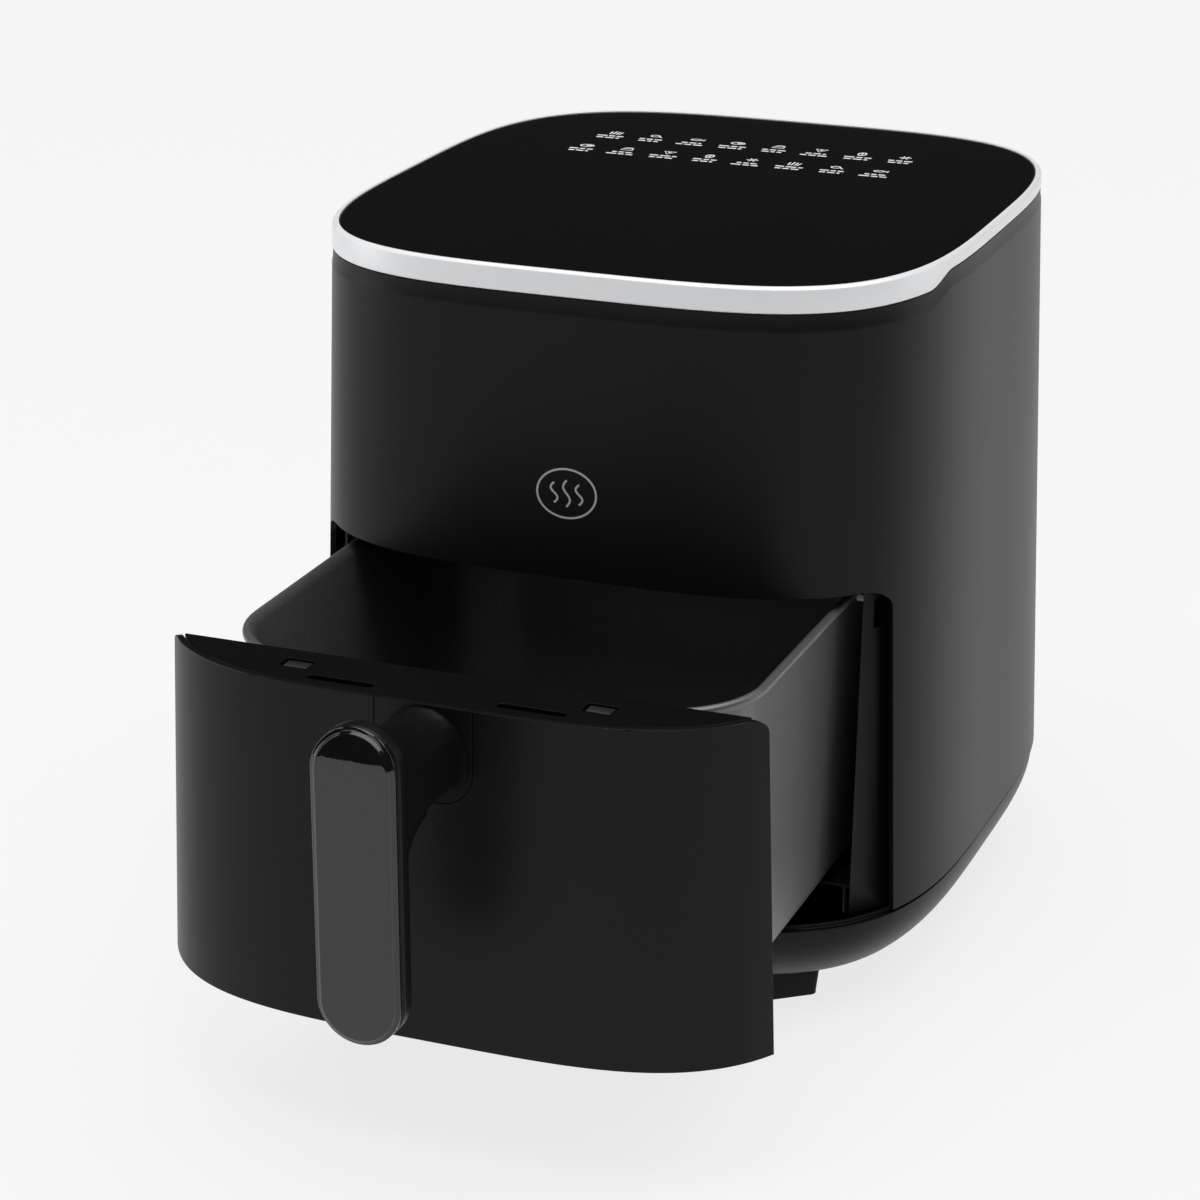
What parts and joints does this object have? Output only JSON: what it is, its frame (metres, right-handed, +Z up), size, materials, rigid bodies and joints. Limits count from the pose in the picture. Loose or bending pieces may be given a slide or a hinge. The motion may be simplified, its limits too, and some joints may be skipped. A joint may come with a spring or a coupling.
{
  "type": "air fryer",
  "caption": "Drawer air fryer: rounded-square black housing with a silver top ring, glass touch panel, bowl plinth on feet, and a pull-out pan with upright grip.",
  "frame": {"origin": "centre of the whole part's box in plan, with the drawer standing open as pictured, at the height of the surface the feet stand on", "axes": "+Z up, +Y towards the rear of the housing, -Y towards the drawer and grip, +X to the right of a person facing the front"},
  "size_m": [0.2862, 0.5156, 0.318],
  "materials": {
    "shell_black": "fine-textured satin black moulding",
    "frame_black": "plain black moulding",
    "piano_black": "high-gloss black",
    "silver_trim": "satin silver paint",
    "panel_glass": "polished black printed glass",
    "non_stick": "dark grey non-stick coating on pressed steel",
    "zinc_sheet": "galvanised pressed sheet",
    "dark_steel": "heat-darkened steel",
    "bright_steel": "bright plated steel",
    "rubber_black": "matt black rubber",
    "board_green": "green circuit board",
    "heat_resin": "cream heat-proof resin"
  },
  "bodies": {
    "housing": {"body_shell": "shell_black", "trim_ring": "silver_trim", "control_glass": "panel_glass", "top_frame": "frame_black", "touch_board": "board_green", "power_board": "board_green", "plinth": "shell_black", "foot_front_left": "rubber_black", "foot_front_right": "rubber_black", "foot_rear_left": "rubber_black", "foot_rear_right": "rubber_black", "plinth_screw_1": "bright_steel", "plinth_screw_2": "bright_steel", "plinth_screw_3": "bright_steel", "plinth_screw_4": "bright_steel", "mouth_frame": "frame_black", "chamber_liner": "zinc_sheet", "rail_left": "zinc_sheet", "rail_right": "zinc_sheet", "fan_shroud": "zinc_sheet", "heater_coil": "dark_steel", "heater_guard": "bright_steel", "exhaust_duct": "zinc_sheet", "rear_grille": "frame_black", "motor_bracket": "zinc_sheet", "motor_housing": "dark_steel", "heat_shield": "zinc_sheet", "temperature_probe": "bright_steel", "thermal_fuse": "heat_resin", "drawer_switch": "frame_black", "terminal_block": "heat_resin", "inner_lead": "rubber_black", "cable_gland": "frame_black"},
    "fan_rotor": {"motor_shaft": "bright_steel", "convection_fan": "zinc_sheet", "cooling_fan": "frame_black"},
    "switch_plunger": {"switch_plunger": "heat_resin"},
    "drawer": {"drawer_front": "shell_black", "handle_mount": "shell_black", "inner_panel": "frame_black", "top_cover": "frame_black", "pan_clip_left": "bright_steel", "pan_clip_right": "bright_steel", "pan": "non_stick", "handle_body": "shell_black", "handle_cap": "piano_black", "handle_screw_1": "bright_steel", "handle_screw_2": "bright_steel"},
    "crisper": {"crisper_plate": "non_stick", "bumper_front_left": "rubber_black", "bumper_front_right": "rubber_black", "bumper_rear_left": "rubber_black", "bumper_rear_right": "rubber_black"}
  },
  "joints": [
    {"name": "drawer_slide", "type": "slide", "parent": "housing", "child": "drawer", "axis": [0, -1, 0], "range_m": [-0.14, 0.09]},
    {"name": "crisper_lift", "type": "slide", "parent": "drawer", "child": "crisper", "axis": [0, 0, 1], "range_m": [0, 0.09]},
    {"name": "fan_spin", "type": "hinge", "parent": "housing", "child": "fan_rotor", "pos_m": [0, 0.09575, 0.236], "axis": [0, 0, 1], "continuous": true},
    {"name": "switch_press", "type": "slide", "parent": "housing", "child": "switch_plunger", "axis": [0, 0, 1], "range_m": [0, 0.002], "stiffness_N_per_m": 80, "springref_m": -0.002}
  ]
}
